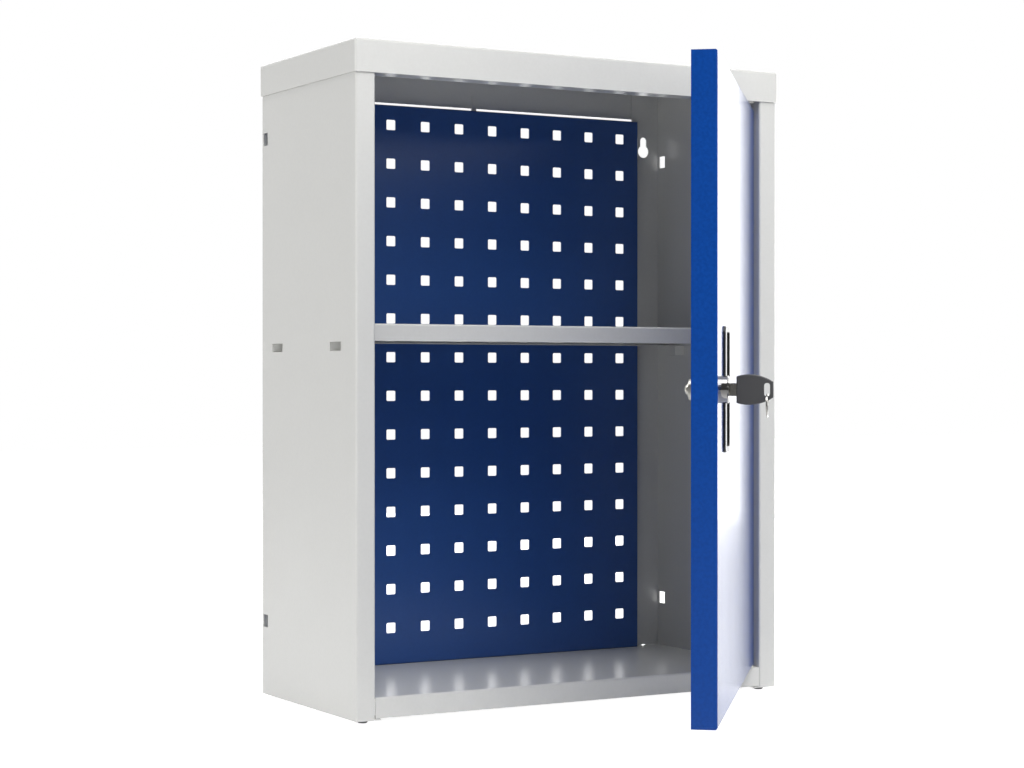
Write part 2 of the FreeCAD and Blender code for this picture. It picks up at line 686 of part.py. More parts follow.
def make_bushes():
    """Flanged plastic bushes for the hinge pins: one hangs in the cap's return, one stands on the floor."""
    bore = "(pin_radius + pin_clearance)"
    axis = (PIVOT_X, "0", f"-{PIVOT_Y}")
    rim = "(door_bottom_gap - bush_running_gap)"
    turned(new_body("upper_hinge_bush"), "bush", "XZ", axis, [
        (bore, f"{CAP_RIM} - {rim}"),
        ("bush_rim_radius", f"{CAP_RIM} - {rim}"),
        ("bush_rim_radius", CAP_RIM),
        ("bush_radius", CAP_RIM),
        ("bush_radius", f"{CAP_RIM} + bush_length"),
        (bore, f"{CAP_RIM} + bush_length"),
    ])
    turned(new_body("lower_hinge_bush"), "bush", "XZ", axis, [
        (bore, f"{FLOOR} - bush_length"),
        ("bush_radius", f"{FLOOR} - bush_length"),
        ("bush_radius", FLOOR),
        ("bush_rim_radius", FLOOR),
        ("bush_rim_radius", f"{FLOOR} + {rim}"),
        (bore, f"{FLOOR} + {rim}"),
    ])


def make_door():
    """The door: a skin, its four edges and the returns behind them, folded from one sheet."""
    body = new_body("door_pan")
    whole = box(FREE_EDGE, "0", HINGE_EDGE, DOOR_HEIGHT)

    def inset(depth):
        return box(f"{FREE_EDGE} + {depth}", depth, f"{HINGE_EDGE} - {depth}", f"{DOOR_HEIGHT} - {depth}")

    add(body, "skin", "XZ", OUTER, f"{OUTER} + sheet_steel", whole)
    add(body, "edges", "XZ", f"{OUTER} + sheet_steel/2", BACK, whole, inset("sheet_steel"))
    dress(body, "Fillet", "bends", "bend_radius", lambda edge: lies_at(edge, "Y", number(OUTER)))
    add(body, "returns", "XZ", f"{BACK} - sheet_steel", BACK, inset("sheet_steel/2"), inset("door_return"))
    through = (f"{OUTER} - cut_overrun", f"{OUTER} + sheet_steel + cut_overrun")
    cut(body, "lock_hole", "XZ", *through, (LOCK_X, DOOR_HALF, "barrel_radius"))
    cut(body, "handle_hole", "XZ", *through, handle_tub("handle_fit"))
    pin = ("0", "0", "pin_radius")
    upper_edge = (f"{DOOR_HEIGHT} - sheet_steel - cut_overrun", f"{DOOR_HEIGHT} + cut_overrun")
    cut(body, "upper_pin_hole", "XY", *upper_edge, pin)
    cut(body, "lower_pin_hole", "XY", "-cut_overrun", "sheet_steel + cut_overrun", pin)
    hang_on_door(body)


def make_pins():
    """Pivot pins fixed in the door's edges, each with a collar inside."""
    inside = f"({DOOR_HEIGHT} - sheet_steel)"
    upper_end = f"({DOOR_HEIGHT} + door_top_gap + pin_reach)"
    lower_end = "(-door_bottom_gap - pin_reach)"
    turned(hang_on_door(new_body("upper_hinge_pin")), "pin", "XZ", ("0", "0", "0"), [
        ("0", f"{inside} - pin_collar"),
        ("pin_collar_radius", f"{inside} - pin_collar"),
        ("pin_collar_radius", inside),
        ("pin_radius", inside),
        ("pin_radius", f"{upper_end} - pin_edge"),
        ("pin_radius - pin_edge", upper_end),
        ("0", upper_end),
    ])
    turned(hang_on_door(new_body("lower_hinge_pin")), "pin", "XZ", ("0", "0", "0"), [
        ("0", "sheet_steel + pin_collar"),
        ("pin_collar_radius", "sheet_steel + pin_collar"),
        ("pin_collar_radius", "sheet_steel"),
        ("pin_radius", "sheet_steel"),
        ("pin_radius", f"{lower_end} + pin_edge"),
        ("pin_radius - pin_edge", lower_end),
        ("0", lower_end),
    ])


def handle_tub(fit):
    """Outline of the handle's tub, or with a fit of the hole that it drops into."""
    near = f"({FREE_EDGE} + handle_inset + handle_lap - {fit})"
    far = f"({FREE_EDGE} + handle_inset + handle_width - handle_lap + {fit})"
    half = f"(handle_height/2 - handle_lap + {fit})"
    corner = f"handle_corner - handle_lap + {fit}"
    return box(near, f"{DOOR_HALF} - {half}", far, f"{DOOR_HALF} + {half}", corner)


def make_handle():
    """Flush pull: a rounded bezel on the door skin and a tub behind it, undercut for the fingers."""
    body = new_body("flush_handle")
    near = f"({FREE_EDGE} + handle_inset)"
    far = f"({FREE_EDGE} + handle_inset + handle_width)"
    low = f"{DOOR_HALF} - handle_height/2"
    high = f"{DOOR_HALF} + handle_height/2"
    floor = f"{OUTER} + handle_depth - handle_wall"
    add(body, "bezel", "XZ", f"{OUTER} - handle_proud", OUTER, box(near, low, far, high, "handle_corner"))
    dress(body, "Fillet", "bezel_edge", "handle_proud/2",
          lambda edge: lies_at(edge, "Y", number(f"{OUTER} - handle_proud")))
    add(body, "tub", "XZ", OUTER, f"{OUTER} + handle_depth", handle_tub("0"))
    opening = ("handle_end_rim", "handle_corner - handle_lap")
    cut(body, "recess", "XZ", f"{OUTER} - handle_proud - cut_overrun", floor, box(
        f"{near} + handle_grip", f"{low} + {opening[0]}",
        f"{far} - handle_far_rim", f"{high} - {opening[0]}", opening[1]))
    cut(body, "finger_undercut", "XZ", f"{OUTER} + handle_wall", floor, box(
        f"{near} + handle_lap + handle_wall", f"{low} + {opening[0]}",
        f"{far} - handle_far_rim", f"{high} - {opening[0]}", opening[1]))
    hang_on_door(body)


def make_lock():
    """Cam lock: housing and nut in the door skin, and the plug, cam, washer and screw that turn in it."""
    axis = (LOCK_X, "0", DOOR_HALF)
    turned(hang_on_door(new_body("lock_housing")), "housing", "XY", axis, [
        ("plug_bore", BOSS_FACE),
        ("boss_radius - boss_edge", BOSS_FACE),
        ("boss_radius", f"{BOSS_FACE} + boss_edge"),
        ("boss_radius", OUTER),
        ("barrel_radius", OUTER),
        ("barrel_radius", BARREL_END),
        ("plug_bore", BARREL_END),
    ])
    nut = hang_on_door(new_body("lock_nut"))
    corners = []
    for turn in range(0, 360, 60):
        corners.append((f"{LOCK_X} + nut_flats/sqrt(3)*cos({turn} deg)",
                        f"{DOOR_HALF} + nut_flats/sqrt(3)*sin({turn} deg)"))
    add(nut, "nut", "XZ", f"{OUTER} + sheet_steel", f"{OUTER} + sheet_steel + nut_height",
        corners, (LOCK_X, DOOR_HALF, "barrel_radius"))
    plug = hang_on_door(new_body("lock_plug"))
    add(plug, "cylinder", "XZ", PLUG_FACE, BARREL_END, (LOCK_X, DOOR_HALF, "plug_bore - plug_clearance"))
    add(plug, "tail", "XZ", BARREL_END, CAM_BACK, lock_box("tail_side/2", "tail_side/2"))
    cut(plug, "keyway", "XZ", f"{PLUG_FACE} - cut_overrun", f"{PLUG_FACE} + keyway_depth",
        lock_box("(key_thickness/2 + key_play)", "(key_height/2 + key_play)"))
    cut(plug, "screw_hole", "XZ", f"{CAM_BACK} - screw_length", f"{CAM_BACK} + cut_overrun",
        (LOCK_X, DOOR_HALF, "screw_radius"))
    cam = hang_on_door(new_body("cam"))
    heel = f"{LOCK_X} - cam_half_width"
    tip = f"{LOCK_X} + cam_reach"
    low = f"{DOOR_HALF} - cam_half_width"
    high = f"{DOOR_HALF} + cam_half_width"
    add(cam, "tongue", "XZ", CAM_FRONT, CAM_BACK, [
        (heel, low, "cam_heel_round"), (tip, low, "cam_tip_round"),
        (tip, high, "cam_tip_round"), (heel, high, "cam_heel_round")],
        lock_box("tail_side/2", "tail_side/2"))
    washer = hang_on_door(new_body("cam_washer"))
    add(washer, "ring", "XZ", CAM_BACK, WASHER_BACK,
        (LOCK_X, DOOR_HALF, "washer_radius"), (LOCK_X, DOOR_HALF, "screw_radius"))
    turned(hang_on_door(new_body("cam_screw")), "screw", "XY", axis, [
        ("0", f"{CAM_BACK} - screw_length"),
        ("screw_radius", f"{CAM_BACK} - screw_length"),
        ("screw_radius", WASHER_BACK),
        ("screw_head_radius", WASHER_BACK),
        ("screw_head_radius", f"{WASHER_BACK} + screw_head - screw_head_edge"),
        ("screw_head_radius - screw_head_edge", f"{WASHER_BACK} + screw_head"),
        ("0", f"{WASHER_BACK} + screw_head"),
    ])


def lock_box(half_width, half_height):
    """A rectangle about the lock's axis, seen along it."""
    return box(f"{LOCK_X} - {half_width}", f"{DOOR_HALF} - {half_height}",
               f"{LOCK_X} + {half_width}", f"{DOOR_HALF} + {half_height}")


def make_key():
    """The key in the plug: a flat blade with its cuts, and a plastic bow moulded over its tang."""
    half = "key_thickness/2"
    flat = (f"{LOCK_X} - {half}", f"{LOCK_X} + {half}")
    low = f"({DOOR_HALF} - key_height/2)"
    high = f"({DOOR_HALF} + key_height/2)"
    tip = f"({PLUG_FACE} + key_reach)"
    bits = []
    for place, share in enumerate(BIT_DEPTH_SHARES):
        middle = f"{PLUG_FACE} + first_bit + {place}*bit_pitch"
        bits += [(f"{middle} - bit_half_width", low),
                 (middle, f"{low} + {share}*key_height"),
                 (f"{middle} + bit_half_width", low)]
    blade = hang_on_door(new_body("key_blade"))
    add(blade, "blade", "YZ", *flat, [
        (f"{PLUG_FACE} - key_play", low),
        *bits,
        (f"{tip} - key_tip", low), (tip, DOOR_HALF), (f"{tip} - key_tip", high),
        (f"{PLUG_FACE} - key_play", high),
    ])
    add(blade, "neck", "YZ", *flat, box(
        BOW_START, f"{DOOR_HALF} - neck_height/2", f"{PLUG_FACE} - key_play", f"{DOOR_HALF} + neck_height/2"))
    tang_low = f"{DOOR_HALF} - tang_height/2"
    tang_high = f"{DOOR_HALF} + tang_height/2"
    tang = box(f"{BOW_START} - key_tang", tang_low, BOW_START, tang_high)
    add(blade, "tang", "YZ", *flat, tang)
    bow = hang_on_door(new_body("key_bow"))
    faces = (f"{LOCK_X} - bow_thickness/2", f"{LOCK_X} + bow_thickness/2")
    add(bow, "shell", "YZ", *faces, [
        (BOW_START, f"{DOOR_HALF} - bow_start_height/2"),
        (BOW_START, f"{DOOR_HALF} + bow_start_height/2", "0", "bow_crown_radius"),
        (BOW_END, f"{DOOR_HALF} + bow_end_height/2"),
        (BOW_END, f"{DOOR_HALF} - bow_end_height/2", "0", "bow_crown_radius"),
    ])
    dress(bow, "Chamfer", "rim", "bow_edge",
          lambda edge: any(lies_at(edge, "X", number(face)) for face in faces))
    cut(bow, "tang_pocket", "YZ", *flat, tang)
    slot = f"({BOW_END} + bow_slot_inset)"
    across = "(bow_thickness/2 + cut_overrun)"
    cut(bow, "slot", "YZ", f"{LOCK_X} - {across}", f"{LOCK_X} + {across}", box(
        f"{slot} - bow_slot_width/2", f"{DOOR_HALF} - bow_slot_height/2",
        f"{slot} + bow_slot_width/2", f"{DOOR_HALF} + bow_slot_height/2", "bow_slot_corner"))
    ring = hang_on_door(new_body("key_ring"))
    hook = f"({DOOR_HALF} - bow_slot_height/2 + ring_wire_height/2 + ring_clearance)"
    turned(ring, "loop", "XY", (LOCK_X, "0", f"{hook} - ring_radius"), box(
        "ring_radius - ring_wire_width/2", f"{slot} - ring_wire_height/2",
        "ring_radius + ring_wire_width/2", f"{slot} + ring_wire_height/2"))


make_side("left_side", -1)
make_side("right_side", 1)
make_cap()
make_floor()
make_panel()
make_rivets()
make_shelf()
make_feet()
make_bushes()
make_door()
make_pins()
make_handle()
make_lock()
make_key()
doc.removeObject(desk.Name)
doc.recompute()

for item in doc.Objects:
    if "Invalid" in item.State or "Error" in item.State:
        raise ValueError(f"{item.Label} failed: {item.State}")
for piece in parts:
    if piece.Shape.isNull() or not piece.Shape.isValid() or not piece.Shape.Solids:
        raise ValueError(f"{piece.Label} has no valid solid")
os.makedirs("parts", exist_ok=True)
for piece in parts:
    piece.Shape.exportStep(f"parts/{piece.Label}.step")
    print(piece.Label, len(piece.Shape.Solids), round(piece.Shape.Volume, 1))
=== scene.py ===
# %% [markdown]
# # A sheet-steel storage cabinet with a perforated back
# The cabinet is folded from one-millimetre steel and powder coated: a pale grey box, a deep blue
# perforated back and a deep blue door that stands half open with its key in the lock. The packed
# CAD model gives every piece its true shape and place, so this lesson is about finish: paints,
# platings and plastics, the small turned and wound pieces, the light and the camera.

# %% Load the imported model
import json
import math

import bmesh
import bpy
from mathutils import Matrix, Vector


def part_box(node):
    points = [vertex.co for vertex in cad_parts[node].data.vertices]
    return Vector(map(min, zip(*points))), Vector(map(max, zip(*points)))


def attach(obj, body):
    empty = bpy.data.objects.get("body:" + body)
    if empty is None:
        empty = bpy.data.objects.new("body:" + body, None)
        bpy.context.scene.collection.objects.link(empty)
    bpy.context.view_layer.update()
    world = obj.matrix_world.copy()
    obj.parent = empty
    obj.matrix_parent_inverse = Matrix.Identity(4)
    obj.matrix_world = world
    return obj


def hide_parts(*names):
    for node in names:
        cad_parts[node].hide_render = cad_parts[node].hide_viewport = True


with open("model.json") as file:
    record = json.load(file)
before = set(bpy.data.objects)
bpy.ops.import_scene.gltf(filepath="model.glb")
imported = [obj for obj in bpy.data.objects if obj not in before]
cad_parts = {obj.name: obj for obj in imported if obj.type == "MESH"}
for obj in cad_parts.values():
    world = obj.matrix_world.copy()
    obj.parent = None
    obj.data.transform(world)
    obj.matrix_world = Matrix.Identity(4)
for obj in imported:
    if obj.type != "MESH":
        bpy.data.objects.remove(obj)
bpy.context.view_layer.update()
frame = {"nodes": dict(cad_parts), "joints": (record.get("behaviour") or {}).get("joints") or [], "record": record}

nodes = frame["nodes"]
joints = {joint["name"]: joint for joint in frame["joints"]}

# %% [markdown]
# ## Working helpers
# Colours are picked as sRGB hex codes, the way a paint card or a picture gives them, but shaders
# count in linear light, so one function converts them. Another adds a node to any tree, sets what
# is plain and links what comes from another node. Lengths are thought of in millimetres, and
# Blender's unit here is the metre.

# %% Colour, length and node helpers
MM = 0.001


def linear(hex_code):
    """The linear colour, with alpha, of an sRGB hex code."""
    parts = [int(hex_code[start:start + 2], 16) / 255 for start in (1, 3, 5)]
    bright = [part / 12.92 if part <= 0.04045 else ((part + 0.055) / 1.055) ** 2.4 for part in parts]
    return (*bright, 1.0)


def put(tree, kind, sockets=None, **settings):
    """Adds a node, sets its options and fills its sockets with plain values or links."""
    made = tree.nodes.new(kind)
    for name, value in settings.items():
        setattr(made, name, value)
    for name, value in (sockets or {}).items():
        if isinstance(value, bpy.types.NodeSocket):
            tree.links.new(value, made.inputs[name])
        else:
            made.inputs[name].default_value = value
    return made


def features_per_metre(size_mm):
    """The texture scale that gives features of a real size."""
    return 1 / (size_mm * MM)


# %% [markdown]
# ## Powder coat
# Powder is sprayed dry on earthed steel and baked. It flows into a tough skin with a fine orange
# peel: low hills about a millimetre across. The gloss is middling, so lamps blur, and at a flat angle
# the skin mirrors the room. The hills are too fine for this picture, so they are drawn coarser than
# life, and their shading is painted into the colour too: a painted shade makes the hollows a touch
# darker. Broad faint clouds in the colour stand for the spray's uneven thickness. The door's blue
# has the strongest peel and painted peel shade, and the grey is nearly smooth.

# %% Powder coat
PEEL_MM = 2.6
# The part of the peel noise that the painted shade of the peel follows, from the hollows to the hills
PEEL_SPAN = (0.3, 0.7)
SPRAY_CLOUD_MM = 130
COAT_GLOSS_SPREAD = 0.03


def powder_coat(name, hex_colour, hex_thick, roughness, ior, peel_height_mm, peel_painted_shade_depth):
    """A baked powder skin: orange peel in its normals, a painted shade of the peel in its tone, clouds in its
    colour and gloss.
    """
    material = bpy.data.materials.new(name)
    material.use_nodes = True
    tree = material.node_tree
    tree.nodes.clear()
    place = put(tree, "ShaderNodeTexCoord").outputs["Object"]
    cloud = put(tree, "ShaderNodeTexNoise", {
        "Vector": place, "Scale": features_per_metre(SPRAY_CLOUD_MM), "Detail": 2.0})
    peel = put(tree, "ShaderNodeTexNoise", {
        "Vector": place, "Scale": features_per_metre(PEEL_MM), "Detail": 1.5, "Roughness": 0.45})
    colour = put(tree, "ShaderNodeMix", {
        "Factor": cloud.outputs["Fac"], 6: linear(hex_colour), 7: linear(hex_thick)}, data_type="RGBA")
    # Painted shade: the colour is darkened in the peel's hollows, standing in for the shading of its hills.
    painted_hollow_shade = put(tree, "ShaderNodeMapRange", {
        "Value": peel.outputs["Fac"], "From Min": PEEL_SPAN[0], "From Max": PEEL_SPAN[1],
        "To Min": 1 - peel_painted_shade_depth, "To Max": 1.0})
    colour_with_painted_peel_shade = put(tree, "ShaderNodeMix", {
        "Factor": 1.0, 6: colour.outputs[2], 7: painted_hollow_shade.outputs["Result"]},
        data_type="RGBA", blend_type="MULTIPLY")
    gloss = put(tree, "ShaderNodeMapRange", {
        "Value": cloud.outputs["Fac"], "To Min": roughness - COAT_GLOSS_SPREAD,
        "To Max": roughness + COAT_GLOSS_SPREAD})
    bump = put(tree, "ShaderNodeBump", {
        "Height": peel.outputs["Fac"], "Strength": 1.0, "Distance": peel_height_mm * MM})
    skin = put(tree, "ShaderNodeBsdfPrincipled", {
        "Base Color": colour_with_painted_peel_shade.outputs[2], "Roughness": gloss.outputs["Result"], "IOR": ior,
        "Normal": bump.outputs["Normal"]})
    put(tree, "ShaderNodeOutputMaterial", {"Surface": skin.outputs["BSDF"]})
    return material


# The last number of each coat is the depth of its painted peel shade, darkening the hollows.
grey_coat = powder_coat("light_grey_powder_coat", "#D4D4D1", "#CFCFCC", 0.24, 1.5, 0.035, 0.02)
blue_coat = powder_coat("gentian_blue_powder_coat", "#0E4395", "#0D3F8D", 0.17, 1.3, 0.09, 0.14)
# The panel's blue is set lighter and greyer than the door's: a painted sheen, standing in for the haze of
# reflected light that lies over the panel.
panel_coat_painted_sheen = powder_coat("perforated_panel_coat_painted_sheen", "#2F5597", "#2C5090", 0.31, 1.5, 0.035, 0.06)
print("powder coats", grey_coat.name, blue_coat.name, panel_coat_painted_sheen.name)

# %% [markdown]
# ## Plated metals
# Zinc plate on the cam, nut, pins and rivets is a soft silver with a slight cloudiness. The lock's
# housing is a die casting, polished and plated in dark chrome, close to a mirror. The key is nickel
# plated and was drawn through rollers, which leave hair lines along it. Each is a metal shader whose
# gloss varies with a noise that is stretched along the working direction.

# %% Plated metals
GRAIN_HEIGHT_MM = 0.006


def plated_metal(name, hex_colour, roughness, spread, stretch, grain_mm):
    """A plated metal. The grain is drawn out along the axis where stretch is small."""
    material = bpy.data.materials.new(name)
    material.use_nodes = True
    tree = material.node_tree
    tree.nodes.clear()
    place = put(tree, "ShaderNodeTexCoord").outputs["Object"]
    drawn = put(tree, "ShaderNodeMapping", {"Vector": place, "Scale": stretch})
    grain = put(tree, "ShaderNodeTexNoise", {
        "Vector": drawn.outputs["Vector"], "Scale": features_per_metre(grain_mm), "Detail": 3.0})
    gloss = put(tree, "ShaderNodeMapRange", {
        "Value": grain.outputs["Fac"], "To Min": roughness - spread, "To Max": roughness + spread})
    bump = put(tree, "ShaderNodeBump", {
        "Height": grain.outputs["Fac"], "Strength": 0.6, "Distance": GRAIN_HEIGHT_MM * MM})
    metal = put(tree, "ShaderNodeBsdfPrincipled", {
        "Base Color": linear(hex_colour), "Metallic": 1.0, "Roughness": gloss.outputs["Result"],
        "Normal": bump.outputs["Normal"]})
    put(tree, "ShaderNodeOutputMaterial", {"Surface": metal.outputs["BSDF"]})
    return material


zinc_plate = plated_metal("zinc_plated_steel", "#C9C7C0", 0.36, 0.08, (1, 1, 1), 1.6)
chrome_plate = plated_metal("chromed_die_casting", "#A8A7A6", 0.1, 0.03, (1, 1, 1), 2.0)
nickel_plate = plated_metal("nickel_plated_steel", "#B5B3AE", 0.22, 0.05, (1, 1, 12), 1.8)
print("plated metals", zinc_plate.name, chrome_plate.name, nickel_plate.name)

# %% [markdown]
# ## Moulded plastics
# The pull is black ABS from a tool with a spark-eroded grain, which makes it matt with a soft
# sparkle. The key's bow is a dark grey nylon, the hinge bushes are natural nylon and the glides
# under the feet are a grey polyethylene. All share one recipe: a plain colour, a fine grain in the
# normals and a gloss that follows the grain.

# %% Moulded plastics
PLASTIC_GLOSS_SPREAD = 0.06
PLASTIC_IOR = 1.52


def moulded(name, hex_colour, roughness, grain_mm, grain_height_mm):
    """A moulded plastic with the grain of its tool."""
    material = bpy.data.materials.new(name)
    material.use_nodes = True
    tree = material.node_tree
    tree.nodes.clear()
    place = put(tree, "ShaderNodeTexCoord").outputs["Object"]
    grain = put(tree, "ShaderNodeTexNoise", {
        "Vector": place, "Scale": features_per_metre(grain_mm), "Detail": 2.0, "Roughness": 0.6})
    gloss = put(tree, "ShaderNodeMapRange", {
        "Value": grain.outputs["Fac"], "To Min": roughness - PLASTIC_GLOSS_SPREAD,
        "To Max": roughness + PLASTIC_GLOSS_SPREAD})
    bump = put(tree, "ShaderNodeBump", {
        "Height": grain.outputs["Fac"], "Strength": 1.0, "Distance": grain_height_mm * MM})
    plastic = put(tree, "ShaderNodeBsdfPrincipled", {
        "Base Color": linear(hex_colour), "Roughness": gloss.outputs["Result"], "IOR": PLASTIC_IOR,
        "Normal": bump.outputs["Normal"]})
    put(tree, "ShaderNodeOutputMaterial", {"Surface": plastic.outputs["BSDF"]})
    return material


black_abs = moulded("black_abs", "#171718", 0.36, 0.9, 0.02)
bow_nylon = moulded("dark_grey_nylon", "#3F3F41", 0.5, 0.8, 0.03)
bush_nylon = moulded("natural_nylon", "#C9C7BF", 0.45, 1.0, 0.02)
glide_plastic = moulded("grey_polyethylene", "#565758", 0.5, 1.0, 0.02)
print("plastics", black_abs.name, bow_nylon.name, bush_nylon.name, glide_plastic.name)

# %% [markdown]
# ## Dress the CAD pieces
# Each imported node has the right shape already, so it only needs its finish. The record names a
# material slot for every node, and a table turns slots into the materials above.

# %% Finishes by slot
FINISHES = {
    "light_grey_paint": grey_coat,
    "blue_paint": blue_coat,
    "zinc_steel": zinc_plate,
    "chrome_zinc": chrome_plate,
    "nickel_steel": nickel_plate,
    "black_plastic": black_abs,
    "grey_plastic": bow_nylon,
    "nylon": bush_nylon,
    "glide_plastic": glide_plastic,
}
slots = {part["node"]: part["material_slot"] for part in frame["record"]["subparts"]}
for name, piece in nodes.items():
    piece.data.materials.clear()
    piece.data.materials.append(FINISHES[slots[name]])
# The panel gets the coat whose colour holds a painted sheen of reflected light.
nodes["perforated_panel"].data.materials[0] = panel_coat_painted_sheen
print("dressed", len(nodes), "nodes in", len(FINISHES), "finishes")

# %% [markdown]
# ## Turned and moulded pieces
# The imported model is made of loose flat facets, which show on round pieces that the light picks
# out. Such a piece is copied, its facets are joined, and every edge that turns less than a set
# angle is shaded smooth. The copy stands in for the node at the same place, on the same body.

# %% Smooth copies
SMOOTH_ANGLE = math.radians(32)
SAME_POINT_MM = 0.002
ROUND_NODES = [
    "lock_housing", "lock_plug", "lock_nut", "cam", "cam_washer", "key_bow", "flush_handle",
    "foot_front_left", "foot_front_right", "foot_rear_left", "foot_rear_right",
    "upper_hinge_bush", "lower_hinge_bush", "upper_hinge_pin", "lower_hinge_pin",
]
body_of = {}
for body, members in frame["record"]["behaviour"]["bodies"].items():
    body_of.update({member: body for member in members})


def stand_in(name, mesh, body, slot, *replaced):
    """Puts a finished mesh in the scene on its body, in place of CAD nodes if any are named."""
    piece = bpy.data.objects.new(name, mesh)
    bpy.context.scene.collection.objects.link(piece)
    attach(piece, body)
    if replaced:
        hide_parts(*replaced)
    return piece


def smooth_shading(mesh):
    """Joins loose facets and shades the mesh smooth except over sharp edges."""
    work = bmesh.new()
    work.from_mesh(mesh)
    bmesh.ops.remove_doubles(work, verts=work.verts, dist=SAME_POINT_MM * MM)
    for face in work.faces:
        face.smooth = True
    for edge in work.edges:
        edge.smooth = len(edge.link_faces) == 2 and edge.calc_face_angle() < SMOOTH_ANGLE
    work.to_mesh(mesh)
    work.free()


for name in ROUND_NODES:
    copied = nodes[name].data.copy()
    copied.name = f"{name}_smooth"
    smooth_shading(copied)
    stand_in(f"{name}_smooth", copied, body_of[name], slots[name], name)
print("smoothed", len(ROUND_NODES), "pieces")

# %% [markdown]
# ## Wound and repeated pieces
# Three things are grown by Geometry Nodes. The key ring is flat wire wound twice round. The lock's
# barrel has a thread behind its nut, a fine ridge on a helix. The panel's four rivets are one shape
# on a two by two grid of points. Each group has named inputs, ends in Realize Instances and Set
# Material, and is turned into a plain mesh that is then laid where the CAD pieces are.

# %% A way to grow a mesh


def new_group(name, inputs):
    """A node group with named inputs, and its input and output nodes."""
    group = bpy.data.node_groups.new(name, "GeometryNodeTree")
    for label, kind in {**inputs, "Material": "NodeSocketMaterial"}.items():
        group.interface.new_socket(name=label, in_out="INPUT", socket_type=kind)
    group.interface.new_socket(name="Geometry", in_out="OUTPUT", socket_type="NodeSocketGeometry")
    return group, put(group, "NodeGroupInput").outputs


def close_group(group, given, geometry):
    """Ends a group: instances become real, and the material goes on."""
    real = put(group, "GeometryNodeRealizeInstances", {"Geometry": geometry})
    painted = put(group, "GeometryNodeSetMaterial", {
        "Geometry": real.outputs["Geometry"], "Material": given["Material"]})
    put(group, "NodeGroupOutput", {"Geometry": painted.outputs["Geometry"]})


def grow(group, values, place):
    """The plain mesh that a group makes from these values, moved by a matrix."""
    seed = bpy.data.objects.new(f"{group.name}_seed", bpy.data.meshes.new(f"{group.name}_seed"))
    bpy.context.scene.collection.objects.link(seed)
    modifier = seed.modifiers.new(group.name, "NODES")
    modifier.node_group = group
    for item in group.interface.items_tree:
        if item.in_out == "INPUT":
            modifier[item.identifier] = values[item.name]
    graph = bpy.context.evaluated_depsgraph_get()
    mesh = bpy.data.meshes.new_from_object(seed.evaluated_get(graph), depsgraph=graph)
    seed.modifiers.remove(modifier)
    bpy.data.objects.remove(seed)
    mesh.name = group.name
    mesh.transform(place)
    smooth_shading(mesh)
    return mesh


def frame_along(point, axis):
    """The matrix that lays local Z along an axis through a point."""
    return Matrix.Translation(point) @ Vector(axis).to_track_quat("Z", "Y").to_matrix().to_4x4()


lock_axis = Vector(joints["lock_turn"]["axis"]).normalized()
lock_point = Vector(joints["lock_turn"]["pos_m"])


def reach_along_lock(name):
    """How far a node reaches along the lock's axis, from its lowest to its highest point."""
    heights = [(corner.co - lock_point).dot(lock_axis) for corner in nodes[name].data.vertices]
    return min(heights), max(heights)


# %% Helix group
WIRE_KINDS = {
    "Turns": "NodeSocketFloat", "Radius": "NodeSocketFloat", "Rise": "NodeSocketFloat",
    "Wire Width": "NodeSocketFloat", "Wire Height": "NodeSocketFloat", "Steps": "NodeSocketInt",
}


def helix_group(name):
    """Flat wire wound on a helix round local Z."""
    group, given = new_group(name, WIRE_KINDS)
    path = put(group, "GeometryNodeCurveSpiral", {
        "Resolution": given["Steps"], "Rotations": given["Turns"], "Start Radius": given["Radius"],
        "End Radius": given["Radius"], "Height": given["Rise"]})
    level = put(group, "GeometryNodeSetCurveNormal", {"Curve": path.outputs["Curve"]}, mode="Z_UP")
    wire = put(group, "GeometryNodeCurvePrimitiveQuadrilateral", {
        "Width": given["Wire Width"], "Height": given["Wire Height"]}, mode="RECTANGLE")
    swept = put(group, "GeometryNodeCurveToMesh", {
        "Curve": level.outputs["Curve"], "Profile Curve": wire.outputs["Curve"], "Fill Caps": True})
    close_group(group, given, swept.outputs["Mesh"])
    return group


# %% Split ring
RING_TURNS = 1.96
RING_WIRE_MM = (1.2, 0.76)
RING_HEIGHT_MM = 1.6
RING_STEPS = 56
ring_low, ring_high = (Vector(corner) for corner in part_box("key_ring"))
ring_radius = (ring_high.z - ring_low.z) / 2 - RING_WIRE_MM[0] * MM / 2
ring_rise = (RING_HEIGHT_MM - RING_WIRE_MM[1]) * MM
ring_mesh = grow(helix_group("split_ring"), {
    "Turns": RING_TURNS, "Radius": ring_radius, "Rise": ring_rise, "Wire Width": RING_WIRE_MM[0] * MM,
    "Wire Height": RING_WIRE_MM[1] * MM, "Steps": RING_STEPS, "Material": nickel_plate},
    frame_along((ring_low + ring_high) / 2 - lock_axis * ring_rise / 2, lock_axis))
stand_in("split_ring", ring_mesh, "ring", slots["key_ring"], "key_ring")

# %% Barrel thread
THREAD_PITCH_MM = 1.5
THREAD_WIRE_MM = (0.5, 0.7)
THREAD_STEPS = 36
BARREL_RADIUS_MM = 9.0
thread_low = reach_along_lock("lock_housing")[0] + THREAD_WIRE_MM[1] * MM
thread_high = reach_along_lock("lock_nut")[0] - THREAD_WIRE_MM[1] * MM
thread_rise = thread_high - thread_low
thread_mesh = grow(helix_group("barrel_thread"), {
    "Turns": thread_rise / (THREAD_PITCH_MM * MM), "Radius": BARREL_RADIUS_MM * MM, "Rise": thread_rise,
    "Wire Width": THREAD_WIRE_MM[0] * MM, "Wire Height": THREAD_WIRE_MM[1] * MM, "Steps": THREAD_STEPS,
    "Material": zinc_plate}, frame_along(lock_point + lock_axis * thread_low, lock_axis))
stand_in("barrel_thread", thread_mesh, "door", slots["lock_housing"])

